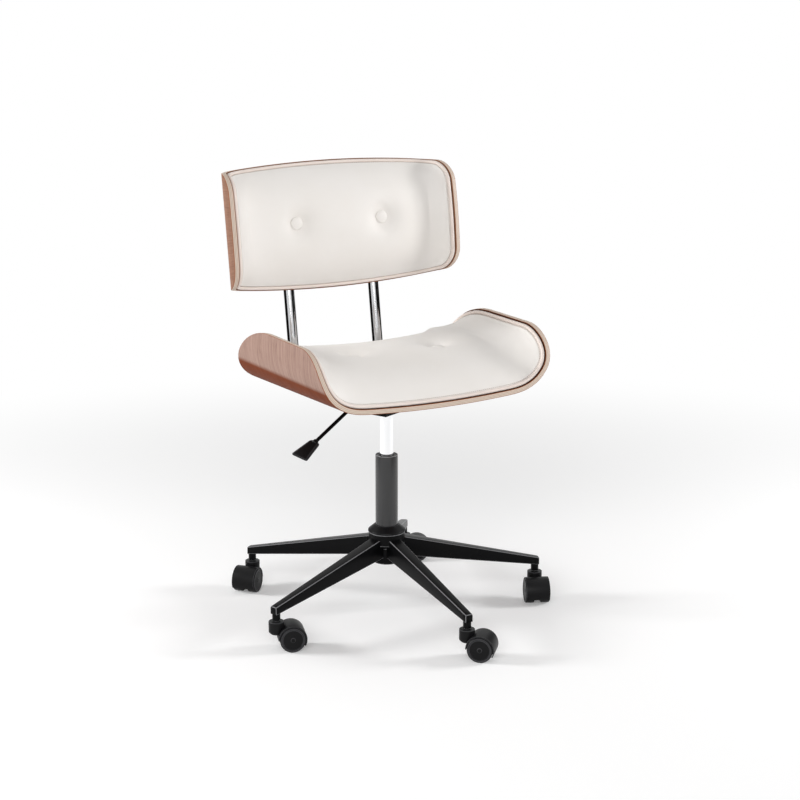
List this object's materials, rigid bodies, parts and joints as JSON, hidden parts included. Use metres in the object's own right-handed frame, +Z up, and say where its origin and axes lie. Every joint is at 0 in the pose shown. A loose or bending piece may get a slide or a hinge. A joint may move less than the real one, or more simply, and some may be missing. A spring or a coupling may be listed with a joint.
{
  "type": "swivel office chair",
  "caption": "Swivel office chair with curved plywood seat and backrest shells, buttoned cushions, bent chrome posts, gas lift, star base and twin-wheel castors.",
  "frame": {"origin": "on the floor under the middle of the chair's bounding box; the column's axis stands 47.4 mm behind it", "axes": "+Z up, -Y the way the sitter faces, +X to the sitter's left"},
  "size_m": [0.6235, 0.6347, 0.8822],
  "materials": {
    "black_steel": "satin black powder coat",
    "black_plastic": "moulded black, semi-matt",
    "bush_plastic": "black acetal",
    "bright_steel": "zinc plated",
    "rubber": "black",
    "chrome": "polished chrome plate",
    "walnut_ply": "walnut veneer, satin lacquer, pale ply edge",
    "board_ply": "bare plywood",
    "cream_leatherette": "cream leatherette, fine grain",
    "welt_trim": "cream piping"
  },
  "bodies": {
    "base": {"star_base": "black_steel", "hub_cover": "black_plastic", "column_tube": "black_steel", "guide_bush": "bush_plastic", "column_base_plate": "bright_steel", "bearing_lower_washer": "bright_steel", "bearing_ball_race": "bright_steel"},
    "rod": {"piston_rod": "bright_steel", "piston_head": "bright_steel", "bearing_upper_washer": "bright_steel", "retaining_ring": "bright_steel", "bump_stop": "rubber"},
    "seat": {"gas_cylinder": "chrome", "rod_guide": "bush_plastic", "seat_plate": "black_steel", "seat_shell": "walnut_ply", "seat_board": "board_ply", "seat_cushion": "cream_leatherette", "seat_welt": "welt_trim", "seat_button_left": "cream_leatherette", "seat_button_right": "cream_leatherette", "back_post_left": "chrome", "back_post_right": "chrome", "post_plug_left": "black_plastic", "post_plug_right": "black_plastic", "back_shell": "walnut_ply", "back_board": "board_ply", "back_cushion": "cream_leatherette", "back_welt": "welt_trim", "back_button_left": "cream_leatherette", "back_button_right": "cream_leatherette", "back_bolt_1": "bright_steel", "back_bolt_2": "bright_steel", "back_bolt_3": "bright_steel", "back_bolt_4": "bright_steel", "lever_pivot_pin": "bright_steel"},
    "lever": {"lever_rod": "black_steel", "lever_paddle": "black_plastic"},
    "valve": {"valve_button": "bright_steel"},
    "castor_1": {"castor_1_hood": "black_plastic", "castor_1_axle": "bright_steel"},
    "castor_1_left": {"castor_1_wheel_left": "black_plastic"},
    "castor_1_right": {"castor_1_wheel_right": "black_plastic"},
    "castor_2": {"castor_2_hood": "black_plastic", "castor_2_axle": "bright_steel"},
    "castor_2_left": {"castor_2_wheel_left": "black_plastic"},
    "castor_2_right": {"castor_2_wheel_right": "black_plastic"},
    "castor_3": {"castor_3_hood": "black_plastic", "castor_3_axle": "bright_steel"},
    "castor_3_left": {"castor_3_wheel_left": "black_plastic"},
    "castor_3_right": {"castor_3_wheel_right": "black_plastic"},
    "castor_4": {"castor_4_hood": "black_plastic", "castor_4_axle": "bright_steel"},
    "castor_4_left": {"castor_4_wheel_left": "black_plastic"},
    "castor_4_right": {"castor_4_wheel_right": "black_plastic"},
    "castor_5": {"castor_5_hood": "black_plastic", "castor_5_axle": "bright_steel"},
    "castor_5_left": {"castor_5_wheel_left": "black_plastic"},
    "castor_5_right": {"castor_5_wheel_right": "black_plastic"}
  },
  "joints": [
    {"name": "seat_swivel", "type": "hinge", "parent": "base", "child": "rod", "pos_m": [0, 0.0474, 0.11], "axis": [0, 0, 1], "continuous": true},
    {"name": "seat_height", "type": "slide", "parent": "rod", "child": "seat", "axis": [0, 0, 1], "range_m": [-0.08, 0]},
    {"name": "lever_lift", "type": "hinge", "parent": "seat", "child": "lever", "pos_m": [-0.02719, 0.03472, 0.441], "axis": [-0.4226, 0.9063, 0], "range_deg": [0, 5], "stiffness_Nm_per_rad": 1, "springref_deg": -2.86},
    {"name": "valve_press", "type": "slide", "parent": "seat", "child": "valve", "axis": [0, 0, -1], "range_m": [0, 0.003]},
    {"name": "castor_1_swivel", "type": "hinge", "parent": "base", "child": "castor_1", "pos_m": [0, -0.2616, 0.05], "axis": [0, 0, 1], "continuous": true},
    {"name": "castor_1_left_spin", "type": "hinge", "parent": "castor_1", "child": "castor_1_left", "pos_m": [0.02091, -0.28096, 0.02479], "axis": [0.6794, 0.7337, 0], "continuous": true},
    {"name": "castor_1_right_spin", "type": "hinge", "parent": "castor_1", "child": "castor_1_right", "pos_m": [0.02091, -0.28096, 0.02479], "axis": [0.6794, 0.7337, 0], "continuous": true},
    {"name": "castor_2_swivel", "type": "hinge", "parent": "base", "child": "castor_2", "pos_m": [0.29388, -0.04809, 0.05], "axis": [0, 0, 1], "continuous": true},
    {"name": "castor_2_left_spin", "type": "hinge", "parent": "castor_2", "child": "castor_2_left", "pos_m": [0.28228, -0.07412, 0.02479], "axis": [0.9135, -0.4067, 0], "continuous": true},
    {"name": "castor_2_right_spin", "type": "hinge", "parent": "castor_2", "child": "castor_2_right", "pos_m": [0.28228, -0.07412, 0.02479], "axis": [0.9135, -0.4067, 0], "continuous": true},
    {"name": "castor_3_swivel", "type": "hinge", "parent": "base", "child": "castor_3", "pos_m": [0.18163, 0.29739, 0.05], "axis": [0, 0, 1], "continuous": true},
    {"name": "castor_3_left_spin", "type": "hinge", "parent": "castor_3", "child": "castor_3_left", "pos_m": [0.20631, 0.28314, 0.02479], "axis": [0.5, 0.866, 0], "continuous": true},
    {"name": "castor_3_right_spin", "type": "hinge", "parent": "castor_3", "child": "castor_3_right", "pos_m": [0.20631, 0.28314, 0.02479], "axis": [0.5, 0.866, 0], "continuous": true},
    {"name": "castor_4_swivel", "type": "hinge", "parent": "base", "child": "castor_4", "pos_m": [-0.18163, 0.29739, 0.05], "axis": [0, 0, 1], "continuous": true},
    {"name": "castor_4_left_spin", "type": "hinge", "parent": "castor_4", "child": "castor_4_left", "pos_m": [-0.20274, 0.27824, 0.02479], "axis": [0.6717, -0.7408, 0], "continuous": true},
    {"name": "castor_4_right_spin", "type": "hinge", "parent": "castor_4", "child": "castor_4_right", "pos_m": [-0.20274, 0.27824, 0.02479], "axis": [0.6717, -0.7408, 0], "continuous": true},
    {"name": "castor_5_swivel", "type": "hinge", "parent": "base", "child": "castor_5", "pos_m": [-0.29388, -0.04809, 0.05], "axis": [0, 0, 1], "continuous": true},
    {"name": "castor_5_left_spin", "type": "hinge", "parent": "castor_5", "child": "castor_5_left", "pos_m": [-0.26685, -0.05713, 0.02479], "axis": [0.3173, 0.9483, 0], "continuous": true},
    {"name": "castor_5_right_spin", "type": "hinge", "parent": "castor_5", "child": "castor_5_right", "pos_m": [-0.26685, -0.05713, 0.02479], "axis": [0.3173, 0.9483, 0], "continuous": true}
  ],
  "couplings": [
    {"joint": "valve_press", "follows": "lever_lift", "m_per_rad": 0.034}
  ]
}
